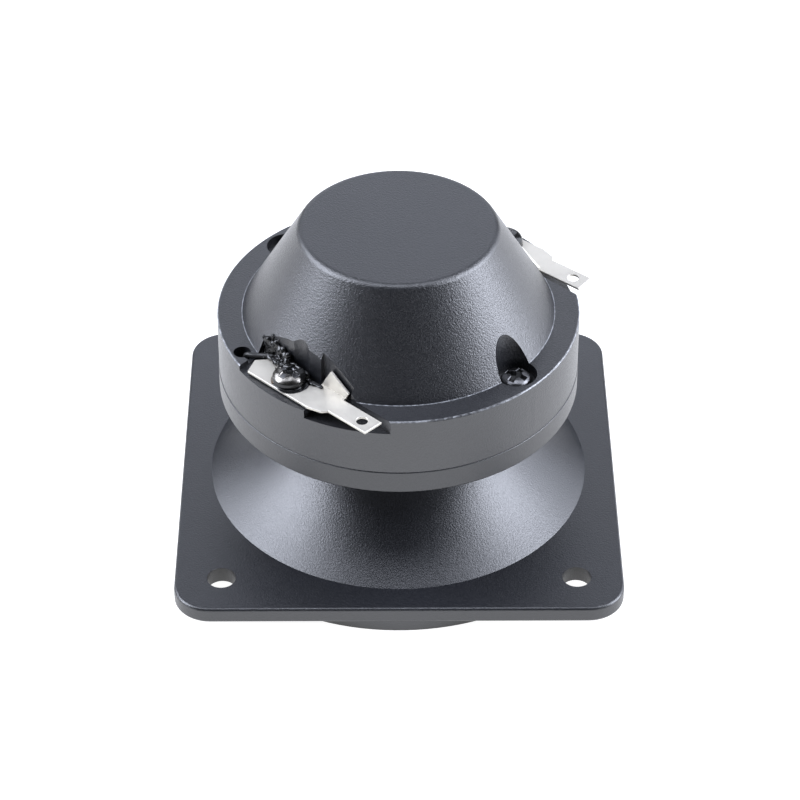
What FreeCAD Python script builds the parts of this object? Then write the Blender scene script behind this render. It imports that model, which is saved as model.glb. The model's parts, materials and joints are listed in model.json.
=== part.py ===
"""Piezo horn tweeter with a square flange, built from a sheet of driving dimensions.

Frame: millimetres, +Z up. The origin is the centre of the mouth rim's plane, and +Z runs along
the horn's axis from the mouth to the rear cover. The flange's sides run along X and Y.
Parts that follow the screws are drawn with a screw on their own +X, and turned by `clocking`.
"""

import FreeCAD, Part
import os
from math import atan2, cos, hypot, pi, sin, sqrt, tan

import Sketcher

DIMENSIONS = {
    # flange and mouth
    "flange_side": 85.0,
    "flange_corner": 7.0,
    "flange_front": 2.2,
    "flange_back": 5.5,
    "flange_edge": 0.6,
    "bolt_spacing": 67.2,
    "bolt_hole": 5.5,
    "mouth_outer": 42.35,
    "mouth_inner": 40.3,
    # bell, throat and rear disc
    "bell_foot": 36.85,
    "bell_bend": 70.0,
    "neck_outer": 14.5,
    "disc_front": 27.3,
    "disc_radius": 34.5,
    "disc_edge": 0.4,
    "parting": 32.0,
    "throat_radius": 12.2,
    "throat_height": 28.0,
    "flare_bend": 72.0,
    "funnel_radius": 21.5,
    "seat_radius": 25.0,
    "seat_height": 30.6,
    # screws
    "clocking": -43.0,
    "screw_circle": 29.6,
    "thread_radius": 1.5,
    "shank_hole": 3.4,
    "head_radius": 2.9,
    "head_rim": 1.0,
    "head_height": 2.1,
    "head_crown": 1.5,
    "head_bend": 2.4,
    "cross_length": 4.1,
    "cross_width": 1.0,
    "cross_depth": 1.3,
    "cover_screw_length": 14.0,
    "terminal_screw_length": 16.0,
    "screw_point": 0.8,
    "front_screw_turn": 70.0,
    "rear_screw_turn": 15.0,
    "right_screw_turn": 110.0,
    "left_screw_turn": 0.0,
    # rear cover
    "cover_radius": 34.4,
    "ledge_height": 44.0,
    "ledge_edge": 0.35,
    "cone_foot": 29.65,
    "cone_top": 18.6,
    "cover_height": 63.0,
    "cover_edge": 1.5,
    "parting_gap": 0.15,
    "rim_socket": 26.4,
    "shoulder_height": 33.8,
    "cavity_radius": 23.6,
    "cavity_step": 38.2,
    "cavity_foot": 26.8,
    "cavity_top": 16.9,
    "cavity_height": 60.8,
    "moat_inner": 28.0,
    "moat_outer": 32.2,
    "moat_height": 39.0,
    "boss_radius": 3.1,
    "wall_boss_angle": 50.0,
    "wall_boss_outer": 27.5,
    "wall_boss_base": 37.2,
    "wall_boss_foot": 45.0,
    "wall_boss_top": 51.6,
    "cut_start": 56.0,
    "recess_bore": 7.8,
    "recess_floor": 41.8,
    # terminal pockets in the ledge
    "pocket_start": 9.6,
    "pocket_end": 12.1,
    "pocket_wall": 26.2,
    "pocket_reach": 37.0,
    "pocket_floor": 42.9,
    "terminal_seat": 0.35,
    "terminal_seat_radius": 3.1,
    "slot_start": 4.9,
    "slot_end": 12.5,
    "slot_wall": 25.5,
    "relief_start": 7.5,
    "relief_end": 23.0,
    "relief_floor": 41.2,
    "lead_hole": 3.3,
    "lead_hole_along": 12.1,
    "lead_hole_out": 29.8,
    "lead_groove_half": 0.9,
    "lead_groove_floor": 43.1,
    "lead_notch_half": 1.1,
    "lead_notch_inner": 18.6,
    "lead_notch_floor": 36.4,
    # terminals, drawn from their screw outwards
    "terminal_gauge": 0.45,
    "terminal_edge": 0.15,
    "right_terminal_turn": 3.4,
    "left_terminal_turn": 0.0,
    "plate_tip_along": 7.6,
    "plate_tip_out": 3.3,
    "plate_end_along": 9.0,
    "plate_end_out": 0.0,
    "plate_heel_along": 6.9,
    "plate_heel_in": 2.3,
    "plate_shoulder_along": 7.8,
    "plate_shoulder_out": 3.4,
    "plate_step_along": 10.6,
    "plate_step_out": 2.6,
    "tail_start": 11.4,
    "tail_outer": 1.6,
    "tail_inner": 2.6,
    "tail_end": 20.8,
    "tail_slant": 0.2,
    "tail_hole": 2.2,
    "tail_hole_along": 17.9,
    "tail_hole_in": 0.5,
    "flap_start": 5.2,
    "flap_foot_end": 11.3,
    "flap_end": 11.9,
    "flap_peak_along": 7.5,
    "flap_peak_height": 4.1,
    "flap_end_height": 1.2,
    "flap_front": 3.2,
    "flap_back": 3.65,
    # phase plug
    "plug_rim": 18.8,
    "plug_rim_height": 31.8,
    "plug_back_radius": 18.3,
    "plug_back_height": 32.6,
    "plug_peak_radius": 1.6,
    "plug_peak_height": 48.8,
    "plug_waist": 9.4,
    "plug_waist_height": 29.0,
    "plug_tip_height": 13.0,
    "plug_bend": 32.0,
    "plug_ring_outer": 24.9,
    "rib_inner": 14.0,
    "rib_outer": 22.5,
    "rib_half": 1.0,
    "rib_top": 31.9,
    # cone, its surround and the clamped stack
    "clamp_inner": 22.5,
    "clamp_outer": 26.1,
    "front_gasket_top": 32.5,
    "surround_gauge": 0.2,
    "ring_top": 33.3,
    "cone_outer": 20.3,
    "cone_base": 32.5,
    "cone_inner": 3.5,
    "cone_peak": 51.0,
    "cone_gauge": 0.45,
    "roll_inner": 20.75,
    "roll_bend": 1.05,
    # piezo driver
    "hub_base": 50.2,
    "hub_base_radius": 4.2,
    "hub_flat_height": 51.5,
    "hub_flat_radius": 4.2,
    "hub_top_radius": 2.6,
    "brass_radius": 16.5,
    "brass_bottom": 54.0,
    "brass_gauge": 0.3,
    "ceramic_radius": 12.5,
    "ceramic_gauge": 0.25,
    "solder_radius": 0.9,
    "solder_circle": 14.4,
    "solder_height": 0.6,
    "pad_radius": 11.0,
    "pad_gap": 0.35,
    # leads and sealant
    "lead_radius": 0.5,
    "lead_rise": 1.8,
    "lead_clearance": 0.05,
    "sealant_along": 4.7,
    "sealant_out": 27.2,
    "sealant_height": 45.4,
    "sealant_half_length": 3.7,
    "sealant_half_width": 2.0,
    "sealant_half_height": 3.6,
}

RIB_COUNT = 3
SCREW_COUNT = 4
RIGHT_ANGLE = 90
LEAD_ANGLE = 112
BEND_SHARE = 0.45
TUBE_MISS = 0.01
NEAR = 1e-4

doc = FreeCAD.newDocument("tweeter")
sheet = doc.addObject("Spreadsheet::Sheet", "Sizes")
for row, (alias, number) in enumerate(DIMENSIONS.items(), 1):
    sheet.set(f"A{row}", alias)
    sheet.set(f"B{row}", str(number))
    sheet.setAlias(f"B{row}", alias)
doc.recompute()


class Size:
    """A number from the sheet, kept together with the expression that gives it."""

    def __init__(self, number, text):
        self.number = number
        self.text = text

    def combine(self, other, sign, number):
        if not isinstance(other, Size):
            other = Size(float(other), str(float(other)))
        return Size(number(self.number, other.number), f"({self.text} {sign} {other.text})")

    def __add__(self, other):
        return self.combine(other, "+", lambda a, b: a + b)

    def __sub__(self, other):
        return self.combine(other, "-", lambda a, b: a - b)

    def __mul__(self, other):
        return self.combine(other, "*", lambda a, b: a * b)

    def __truediv__(self, other):
        return self.combine(other, "/", lambda a, b: a / b)

    def __neg__(self):
        return self * -1


class Sizes:
    """The sheet's aliases as attributes."""

    def __getattr__(self, alias):
        return Size(sheet.get(alias), f"Sizes.{alias}")


dim = Sizes()


def bind(obj, prop, size):
    """Bind a property of an object to the sheet."""
    obj.setExpression(prop, size.text)


def origin_feature(body, role):
    """The origin plane or axis of a body that has the given role."""
    return next(f for f in body.Origin.OriginFeatures if f.Role == role)


def sketch(body, name, plane="XY_Plane", offset=None, turn=None):
    """An empty sketch on one of the body's origin planes, moved and turned along its normal."""
    made = body.newObject("Sketcher::SketchObject", name)
    made.AttachmentSupport = [(origin_feature(body, plane), "")]
    made.MapMode = "FlatFace"
    if turn is not None:
        rotation = FreeCAD.Rotation(FreeCAD.Vector(0, 0, 1), turn.number)
        made.AttachmentOffset = FreeCAD.Placement(FreeCAD.Vector(0, 0, 0), rotation)
        bind(made, "AttachmentOffset.Rotation.Angle", turn)
    if offset is not None:
        bind(made, "AttachmentOffset.Base.z", offset)
    return made


def hold(drawing, kind, edge, end, size):
    """Constrain a point of a sketch to its distance from the sketch's origin."""
    if not isinstance(size, Size):
        axis = -2 if kind == "DistanceX" else -1
        drawing.addConstraint(Sketcher.Constraint("PointOnObject", edge, end, axis))
        return
    number = drawing.addConstraint(Sketcher.Constraint(kind, -1, 1, edge, end, size.number))
    name = f"{kind[-1].lower()}{number}"
    drawing.renameConstraint(number, name)
    bind(drawing, f"Constraints.{name}", size)


def plain(size):
    """The number of a corner coordinate, which is a Size or zero."""
    return size.number if isinstance(size, Size) else float(size)


def arc_between(a, b, radius, turn):
    """The minor arc from a to b: turn is 1 for anticlockwise, -1 for clockwise."""
    if turn < 0:
        a, b = b, a
    across, up = b[0] - a[0], b[1] - a[1]
    chord = hypot(across, up)
    rise = sqrt(radius**2 - chord**2 / 4) / chord
    middle = ((a[0] + b[0]) / 2 - up * rise, (a[1] + b[1]) / 2 + across * rise)
    circle_of_arc = Part.Circle(FreeCAD.Vector(*middle, 0), FreeCAD.Vector(0, 0, 1), radius)
    start = atan2(a[1] - middle[1], a[0] - middle[0])
    end = atan2(b[1] - middle[1], b[0] - middle[0])
    return Part.ArcOfCircle(circle_of_arc, start, end if end > start else end + 2 * pi)


def trace(drawing, corners, bends=None):
    """Draw a closed outline. bends gives {edge number: (radius, turn)} for the edges that are arcs."""
    bends = bends or {}
    first = drawing.GeometryCount
    ends = []
    for i, corner in enumerate(corners):
        a = [plain(c) for c in corner]
        b = [plain(c) for c in corners[(i + 1) % len(corners)]]
        if i in bends:
            radius, turn = bends[i]
            drawing.addGeometry(arc_between(a, b, radius.number, turn), False)
            ends.append((1, 2) if turn > 0 else (2, 1))
        else:
            drawing.addGeometry(Part.LineSegment(FreeCAD.Vector(*a, 0), FreeCAD.Vector(*b, 0)), False)
            ends.append((1, 2))
    for i in range(len(corners)):
        after = (i + 1) % len(corners)
        joint = ("Coincident", first + i, ends[i][1], first + after, ends[after][0])
        drawing.addConstraint(Sketcher.Constraint(*joint))
    for i, (across, up) in enumerate(corners):
        hold(drawing, "DistanceX", first + i, ends[i][0], across)
        hold(drawing, "DistanceY", first + i, ends[i][0], up)
    for i, (radius, turn) in bends.items():
        number = drawing.addConstraint(Sketcher.Constraint("Radius", first + i, radius.number))
        drawing.renameConstraint(number, f"bend{number}")
        bind(drawing, f"Constraints.bend{number}", radius)


def circle(drawing, across, up, diameter):
    """Draw a circle of a bound diameter and centre."""
    middle = FreeCAD.Vector(plain(across), plain(up), 0)
    edge = drawing.addGeometry(
        Part.Circle(middle, FreeCAD.Vector(0, 0, 1), diameter.number / 2), False
    )
    hold(drawing, "DistanceX", edge, 3, across)
    hold(drawing, "DistanceY", edge, 3, up)
    number = drawing.addConstraint(Sketcher.Constraint("Diameter", edge, diameter.number))
    drawing.renameConstraint(number, f"bore{number}")
    bind(drawing, f"Constraints.bore{number}", diameter)


def box_outline(low_x, high_x, low_y, high_y):
    """The corners of a rectangle."""
    return [(low_x, low_y), (high_x, low_y), (high_x, high_y), (low_x, high_y)]


def new_body(label):
    """An empty PartDesign body, whose label names its file."""
    body = doc.addObject("PartDesign::Body", label)
    body.Label = label
    return body


def feature(body, kind, drawing, name):
    """A sketch-based PartDesign feature on the given sketch."""
    made = body.newObject(f"PartDesign::{kind}", name)
    made.Profile = drawing
    return made


def turn_about_z(body, drawing, name, kind="Revolution", angle=None):
    """Revolve or groove a sketch about its vertical axis, all round or centred on the sketch."""
    made = feature(body, kind, drawing, name)
    made.ReferenceAxis = (drawing, ["V_Axis"])
    made.Angle = 360
    if angle is not None:
        made.Midplane = True
        bind(made, "Angle", angle)
    doc.recompute()
    return made


def extrude(body, drawing, name, length, kind="Pad"):
    """Pad a sketch up, or pocket it down, by a bound length, and check that it did something."""
    before = body.Shape.Volume if body.Tip else 0.0
    made = feature(body, kind, drawing, name)
    bind(made, "Length", length)
    doc.recompute()
    if abs(made.Shape.Volume - before) < NEAR:
        raise RuntimeError(f"{name} changed nothing")
    return made


def repeat(body, original, name, count):
    """Repeat a feature evenly about the body's Z axis."""
    made = body.newObject("PartDesign::PolarPattern", name)
    made.Originals = [original]
    made.Axis = (origin_feature(body, "Z_Axis"), [""])
    made.Angle = 360
    made.Occurrences = count
    body.Tip = made
    doc.recompute()
    return made


def dress(body, kind, name, prop, size, wanted):
    """Fillet or chamfer the edges of the body's tip that pass a test."""
    base = body.Tip
    names = [f"Edge{n}" for n, edge in enumerate(base.Shape.Edges, 1) if wanted(edge)]
    if not names:
        raise RuntimeError(f"{name} found no edge")
    made = body.newObject(f"PartDesign::{kind}", name)
    made.Base = (base, names)
    bind(made, prop, size)
    doc.recompute()
    return made


def rim_at(radius, height):
    """A test for full circular edges about Z at one radius and height."""

    def wanted(edge):
        curve = edge.Curve
        return (
            curve.TypeId == "Part::GeomCircle"
            and abs(curve.Radius - radius.number) < NEAR
            and abs(curve.Center.z - height.number) < NEAR
            and hypot(curve.Center.x, curve.Center.y) < NEAR
        )

    return wanted


def turned(label, corners, bends=None):
    """A body of revolution about Z, from its half outline as (radius, height) corners."""
    body = new_body(label)
    drawing = sketch(body, f"{label}_outline", "XZ_Plane")
    trace(drawing, corners, bends)
    turn_about_z(body, drawing, f"{label}_turned")
    return body


def place(obj, radius=None, angle=None, height=None, turn=None):
    """Put an object at a radius and angle about Z, at a height, turned about its own Z."""
    turn = turn if turn is not None else angle
    if turn is not None:
        rotation = FreeCAD.Rotation(FreeCAD.Vector(0, 0, 1), turn.number)
        obj.Placement = FreeCAD.Placement(FreeCAD.Vector(0, 0, 0), rotation)
        bind(obj, "Placement.Rotation.Angle", turn)
    if radius is not None:
        obj.setExpression("Placement.Base.x", f"{radius.text} * cos({angle.text} * 1 deg)")
        obj.setExpression("Placement.Base.y", f"{radius.text} * sin({angle.text} * 1 deg)")
    if height is not None:
        bind(obj, "Placement.Base.z", height)


def mirrored(source, label):
    """The mirror image of a part across the upright plane through the two plain screws."""
    made = doc.addObject("Part::Mirroring", label)
    made.Label = label
    made.Source = source
    made.setExpression("Normal.x", "-sin(Sizes.clocking * 1 deg)")
    made.setExpression("Normal.y", "cos(Sizes.clocking * 1 deg)")
    made.Normal.z = 0
    return made


def make_horn():
    """Flange, bell, neck and rear disc in one moulding, open from the mouth to the plug's seat."""
    body = new_body("horn")

    half = dim.flange_side / 2
    inset = half - dim.flange_corner
    corners = []
    for along, out in ((1, -1), (1, 1), (-1, 1), (-1, -1)):
        on_side = (half * along, inset * out)
        on_end = (inset * along, half * out)
        corners += [on_side, on_end] if along * out > 0 else [on_end, on_side]
    drawing = sketch(body, "flange_outline", offset=dim.flange_front)
    trace(drawing, corners, {i: (dim.flange_corner, 1) for i in (0, 2, 4, 6)})
    extrude(body, drawing, "flange", dim.flange_back - dim.flange_front)
    dress(
        body, "Fillet", "flange_edges", "Radius", dim.flange_edge,
        lambda edge: edge.BoundBox.ZLength < NEAR,
    )

    drawing = sketch(body, "bell_outline", "XZ_Plane")
    trace(
        drawing,
        [
            (0, 0),
            (dim.mouth_outer, 0),
            (dim.mouth_outer, dim.flange_back - dim.flange_edge),
            (dim.bell_foot, dim.flange_back),
            (dim.neck_outer, dim.disc_front),
            (dim.disc_radius, dim.disc_front),
            (dim.disc_radius, dim.parting),
            (0, dim.parting),
        ],
        {3: (dim.bell_bend, -1)},
    )
    turn_about_z(body, drawing, "bell")
    for height in (dim.disc_front, dim.parting):
        size = dim.disc_edge if height.number < dim.parting.number else dim.parting_gap
        name = f"disc_edge_{height.number:.0f}"
        dress(body, "Fillet", name, "Radius", size, rim_at(dim.disc_radius, height))

    drawing = sketch(body, "flare_outline", "XZ_Plane")
    trace(
        drawing,
        [
            (0, 0),
            (dim.mouth_inner, 0),
            (dim.throat_radius, dim.throat_height),
            (dim.funnel_radius, dim.seat_height),
            (dim.seat_radius, dim.seat_height),
            (dim.seat_radius, dim.parting),
            (0, dim.parting),
        ],
        {1: (dim.flare_bend, -1)},
    )
    turn_about_z(body, drawing, "flare", "Groove")

    drawing = sketch(body, "bolt_places", offset=dim.flange_back)
    for along in (1, -1):
        for out in (1, -1):
            offset = dim.bolt_spacing / 2
            circle(drawing, offset * along, offset * out, dim.bolt_hole)
    extrude(body, drawing, "bolt_holes", dim.flange_back, "Pocket")

    drawing = sketch(body, "pilot_place", offset=dim.parting, turn=dim.clocking)
    circle(drawing, dim.screw_circle, 0, dim.thread_radius * 2)
    pilot = extrude(body, drawing, "pilot_hole", dim.parting - dim.disc_front, "Pocket")
    repeat(body, pilot, "pilot_holes", SCREW_COUNT)
    return body


def make_rear_cover():
    """The cup-shaped cover: skirt, ledge with recesses and terminal pockets, and hollow cone."""
    body = new_body("rear_cover")

    drawing = sketch(body, "cover_outline", "XZ_Plane")
    trace(
        drawing,
        [
            (dim.rim_socket, dim.parting),
            (dim.cover_radius, dim.parting),
            (dim.cover_radius, dim.ledge_height),
            (dim.cone_foot, dim.ledge_height),
            (dim.cone_top, dim.cover_height),
            (0, dim.cover_height),
            (0, dim.cavity_height),
            (dim.cavity_top, dim.cavity_height),
            (dim.cavity_foot, dim.ledge_height),
            (dim.cavity_radius, dim.cavity_step),
            (dim.cavity_radius, dim.shoulder_height),
            (dim.rim_socket, dim.shoulder_height),
        ],
    )
    turn_about_z(body, drawing, "cover_shell")
    edges = (
        ("top_edge", dim.cover_edge, rim_at(dim.cone_top, dim.cover_height)),
        ("ledge_edge", dim.ledge_edge, rim_at(dim.cover_radius, dim.ledge_height)),
        ("skirt_edge", dim.parting_gap, rim_at(dim.cover_radius, dim.parting)),
    )
    for name, size, wanted in edges:
        dress(body, "Fillet", name, "Radius", size, wanted)

    drawing = sketch(body, "moat_outline", "XZ_Plane")
    trace(drawing, box_outline(dim.moat_inner, dim.moat_outer, dim.parting, dim.moat_height))
    turn_about_z(body, drawing, "moat", "Groove")

    drawing = sketch(body, "boss_place", offset=dim.parting)
    circle(drawing, dim.screw_circle, 0, dim.boss_radius * 2)
    boss = extrude(body, drawing, "screw_boss", dim.moat_height - dim.parting)
    repeat(body, boss, "screw_bosses", SCREW_COUNT)

    drawing = sketch(body, "wall_boss_outline", "XZ_Plane")
    trace(
        drawing,
        [
            (dim.cavity_radius, dim.wall_boss_base),
            (dim.wall_boss_outer, dim.wall_boss_base),
            (dim.wall_boss_outer, dim.wall_boss_foot),
            (dim.cavity_radius, dim.wall_boss_top),
        ],
    )
    wall_boss = turn_about_z(body, drawing, "wall_boss", angle=dim.wall_boss_angle)
    repeat(body, wall_boss, "wall_bosses", SCREW_COUNT)

    recesses = (
        ("recess", dim.screw_circle, 0, dim.recess_floor),
        ("terminal_recess", 0, dim.screw_circle, dim.pocket_floor),
    )
    for name, along, out, floor in recesses:
        drawing = sketch(body, f"{name}_places", offset=dim.cut_start)
        for side in (1, -1):
            circle(drawing, along * side, out * side, dim.recess_bore)
        extrude(body, drawing, f"{name}s", dim.cut_start - floor, "Pocket")

    pockets = (
        ("pocket", -dim.pocket_start, dim.pocket_end, dim.pocket_wall, dim.pocket_floor),
        ("flap_slot", dim.slot_start, dim.slot_end, dim.slot_wall, dim.pocket_floor),
        ("relief", dim.relief_start, dim.relief_end, dim.pocket_wall, dim.relief_floor),
    )
    for name, start, end, wall, floor in pockets:
        drawing = sketch(body, f"{name}_places", offset=dim.cut_start)
        for side in (1, -1):
            trace(drawing, box_outline(start, end, wall * side, dim.pocket_reach * side))
        extrude(body, drawing, f"{name}s", dim.cut_start - floor, "Pocket")

    drawing = sketch(body, "terminal_seat_places", offset=dim.pocket_floor)
    for side in (1, -1):
        circle(drawing, 0, dim.screw_circle * side, dim.terminal_seat_radius * 2)
    extrude(body, drawing, "terminal_seats", dim.terminal_seat)

    seat_top = dim.pocket_floor + dim.terminal_seat
    drawing = sketch(body, "shank_place", offset=seat_top)
    circle(drawing, dim.screw_circle, 0, dim.shank_hole)
    shank = extrude(body, drawing, "shank_hole", seat_top - dim.parting, "Pocket")
    repeat(body, shank, "shank_holes", SCREW_COUNT)

    drawing = sketch(body, "lead_hole_places", offset=dim.ledge_height)
    for side in (1, -1):
        circle(drawing, -dim.lead_hole_along, dim.lead_hole_out * side, dim.lead_hole)
    extrude(body, drawing, "lead_holes", dim.ledge_height - dim.moat_height, "Pocket")

    drawing = sketch(body, "lead_groove_places", offset=dim.ledge_height)
    for side in (1, -1):
        low = dim.lead_hole_out * side - dim.lead_groove_half
        high = dim.lead_hole_out * side + dim.lead_groove_half
        trace(drawing, box_outline(-dim.lead_hole_along, -dim.pocket_start, low, high))
    extrude(body, drawing, "lead_grooves", dim.ledge_height - dim.lead_groove_floor, "Pocket")

    drawing = sketch(body, "lead_notch_places", offset=dim.moat_height)
    for side in (1, -1):
        low = -dim.lead_hole_along - dim.lead_notch_half
        high = -dim.lead_hole_along + dim.lead_notch_half
        trace(drawing, box_outline(low, high, dim.lead_notch_inner * side, dim.moat_inner * side))
    extrude(body, drawing, "lead_notches", dim.moat_height - dim.lead_notch_floor, "Pocket")
    place(body, turn=dim.clocking)
    return body


def make_phase_plug():
    """The bullet that stands in the throat, its ribs, and the ring that seats it in the horn."""
    body = new_body("phase_plug")
    drawing = sketch(body, "plug_outline", "XZ_Plane")
    trace(
        drawing,
        [
            (0, dim.plug_tip_height),
            (dim.plug_waist, dim.plug_waist_height),
            (dim.plug_rim, dim.plug_rim_height),
            (dim.plug_back_radius, dim.plug_back_height),
            (dim.plug_peak_radius, dim.plug_peak_height),
            (0, dim.plug_peak_height),
        ],
        {0: (dim.plug_bend, 1)},
    )
    turn_about_z(body, drawing, "plug_bullet")
    drawing = sketch(body, "rib_outline", offset=dim.seat_height)
    trace(drawing, box_outline(dim.rib_inner, dim.rib_outer, -dim.rib_half, dim.rib_half))
    rib = extrude(body, drawing, "rib", dim.rib_top - dim.seat_height)
    repeat(body, rib, "ribs", RIB_COUNT)
    drawing = sketch(body, "seat_ring_outline", "XZ_Plane")
    trace(
        drawing,
        box_outline(dim.funnel_radius, dim.plug_ring_outer, dim.seat_height, dim.parting),
    )
    turn_about_z(body, drawing, "seat_ring")
    return body


def make_cone_stack():
    """The gaskets, the stiff ring, the rolled surround and the paper cone."""
    turned(
        "front_gasket",
        box_outline(dim.clamp_inner, dim.clamp_outer, dim.parting, dim.front_gasket_top),
    )
    surround_top = dim.front_gasket_top + dim.surround_gauge
    turned(
        "cone_surround",
        [
            (dim.roll_inner, dim.front_gasket_top),
            (dim.roll_inner + dim.surround_gauge, dim.front_gasket_top),
            (dim.clamp_inner, dim.front_gasket_top),
            (dim.clamp_outer, dim.front_gasket_top),
            (dim.clamp_outer, surround_top),
            (dim.clamp_inner + dim.surround_gauge, surround_top),
            (dim.roll_inner, surround_top),
        ],
        {1: (dim.roll_bend, -1), 5: (dim.roll_bend + dim.surround_gauge, 1)},
    )
    turned(
        "surround_ring",
        box_outline(
            dim.clamp_inner + dim.surround_gauge, dim.clamp_outer, surround_top, dim.ring_top
        ),
    )
    turned(
        "rear_gasket",
        box_outline(dim.cavity_radius, dim.clamp_outer, dim.ring_top, dim.shoulder_height),
    )
    turned(
        "cone",
        [
            (dim.cone_outer, dim.cone_base),
            (dim.cone_outer + dim.cone_gauge, dim.cone_base),
            (dim.cone_inner + dim.cone_gauge, dim.cone_peak),
            (dim.cone_inner, dim.cone_peak),
        ],
    )


def make_piezo_driver():
    """The brass disc with a ceramic disc on each face, and the hub that joins it to the cone."""
    brass_top = dim.brass_bottom + dim.brass_gauge
    hub_top = dim.brass_bottom - dim.ceramic_gauge
    discs = (
        ("piezo_brass", dim.brass_radius, dim.brass_bottom, dim.brass_gauge),
        ("piezo_ceramic_front", dim.ceramic_radius, hub_top, dim.ceramic_gauge),
        ("piezo_ceramic_rear", dim.ceramic_radius, brass_top, dim.ceramic_gauge),
    )
    for label, radius, bottom, gauge in discs:
        disc = doc.addObject("Part::Cylinder", label)
        disc.Label = label
        bind(disc, "Radius", radius)
        bind(disc, "Height", gauge)
        place(disc, height=bottom)

    run = (dim.cone_outer - dim.cone_inner) / (dim.cone_peak - dim.cone_base)
    inside = dim.cone_inner + (dim.cone_peak - dim.hub_base) * run
    turned(
        "cone_hub",
        [
            (0, dim.hub_base),
            (inside, dim.hub_base),
            (dim.cone_inner, dim.cone_peak),
            (dim.hub_flat_radius, dim.cone_peak),
            (dim.hub_flat_radius, dim.hub_flat_height),
            (dim.hub_top_radius, hub_top),
            (0, hub_top),
        ],
    )

    dots = []
    for side in (1, -1):
        dot = doc.addObject("Part::Cone", f"solder_dot_{'right' if side > 0 else 'left'}")
        bind(dot, "Radius1", dim.solder_radius)
        bind(dot, "Radius2", dim.solder_radius / 2)
        bind(dot, "Height", dim.solder_height)
        place(dot, dim.solder_circle, dim.clocking + LEAD_ANGLE * side, brass_top)
        dots.append(dot)
    solder = doc.addObject("Part::Compound", "solder_dots")
    solder.Label = "solder_dots"
    solder.Links = dots

    pad = doc.addObject("Part::Cylinder", "damping_pad")
    pad.Label = "damping_pad"
    pad_bottom = brass_top + dim.ceramic_gauge + dim.pad_gap
    bind(pad, "Radius", dim.pad_radius)
    bind(pad, "Height", dim.cavity_height - pad_bottom)
    place(pad, height=pad_bottom)


def make_terminal(label, side, turn):
    """A tinned plate under its screw, with a narrow tail and a flap bent up against the cone.

    Its own origin is at its screw, and side is 1 or -1 for the way that faces outwards.
    """
    body = new_body(label)
    bottom = dim.pocket_floor + dim.terminal_seat
    top = bottom + dim.terminal_gauge
    drawing = sketch(body, f"{label}_outline", offset=bottom)
    trace(
        drawing,
        [
            (-dim.plate_heel_along, -dim.plate_heel_in * side),
            (dim.flap_start, -dim.plate_heel_in * side),
            (dim.flap_start, -dim.flap_back * side),
            (dim.flap_foot_end, -dim.flap_back * side),
            (dim.flap_foot_end, -dim.tail_inner * side),
            (dim.tail_end, -dim.tail_inner * side),
            (dim.tail_end - dim.tail_slant, dim.tail_outer * side),
            (dim.tail_start, dim.tail_outer * side),
            (dim.plate_step_along, dim.plate_step_out * side),
            (dim.plate_shoulder_along, dim.plate_shoulder_out * side),
            (-dim.plate_tip_along, dim.plate_tip_out * side),
            (-dim.plate_end_along, dim.plate_end_out * side),
        ],
    )
    extrude(body, drawing, f"{label}_plate", dim.terminal_gauge)

    near_side = dim.flap_front if side > 0 else -dim.flap_back
    drawing = sketch(body, f"{label}_flap_outline", "XZ_Plane", offset=near_side)
    trace(
        drawing,
        [
            (dim.flap_start, top),
            (dim.flap_foot_end, top),
            (dim.flap_end, top + dim.flap_end_height),
            (dim.flap_peak_along, top + dim.flap_peak_height),
        ],
    )
    extrude(body, drawing, f"{label}_flap", dim.flap_back - dim.flap_front)

    drawing = sketch(body, f"{label}_hole_places", offset=top)
    circle(drawing, 0, 0, dim.shank_hole)
    circle(drawing, dim.tail_hole_along, -dim.tail_hole_in * side, dim.tail_hole)
    extrude(body, drawing, f"{label}_holes", dim.terminal_gauge, "Pocket")

    def stamped(edge):
        """The plate's upper edges, clear of the flap."""
        box = edge.BoundBox
        reach = min(box.YMin * side, box.YMax * side)
        level = abs(box.ZMin - top.number) < NEAR and box.ZLength < NEAR
        return level and reach > NEAR - dim.flap_front.number

    dress(body, "Fillet", f"{label}_edges", "Radius", dim.terminal_edge, stamped)
    place(body, dim.screw_circle, dim.clocking + side * RIGHT_ANGLE, turn=dim.clocking + turn)
    return body


def make_screw(label, length, seat, angle, turn):
    """A pan-head screw with a cross recess. Its own origin is under its head."""
    body = new_body(label)
    drawing = sketch(body, f"{label}_outline", "XZ_Plane")
    point = dim.thread_radius - dim.screw_point
    trace(
        drawing,
        [
            (0, -length),
            (point, -length),
            (dim.thread_radius, dim.screw_point - length),
            (dim.thread_radius, 0),
            (dim.head_radius, 0),
            (dim.head_radius, dim.head_rim),
            (dim.head_crown, dim.head_height),
            (0, dim.head_height),
        ],
        {5: (dim.head_bend, 1)},
    )
    turn_about_z(body, drawing, f"{label}_turned")
    drawing = sketch(body, f"{label}_cross", offset=dim.head_height)
    arm, half = dim.cross_length / 2, dim.cross_width / 2
    corners = [
        (arm, -half), (arm, half), (half, half), (half, arm), (-half, arm), (-half, half),
        (-arm, half), (-arm, -half), (-half, -half), (-half, -arm), (half, -arm), (half, -half),
    ]
    trace(drawing, corners)
    extrude(body, drawing, f"{label}_recess", dim.cross_depth, "Pocket")
    place(body, dim.screw_circle, angle, seat, turn)
    return body


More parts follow.
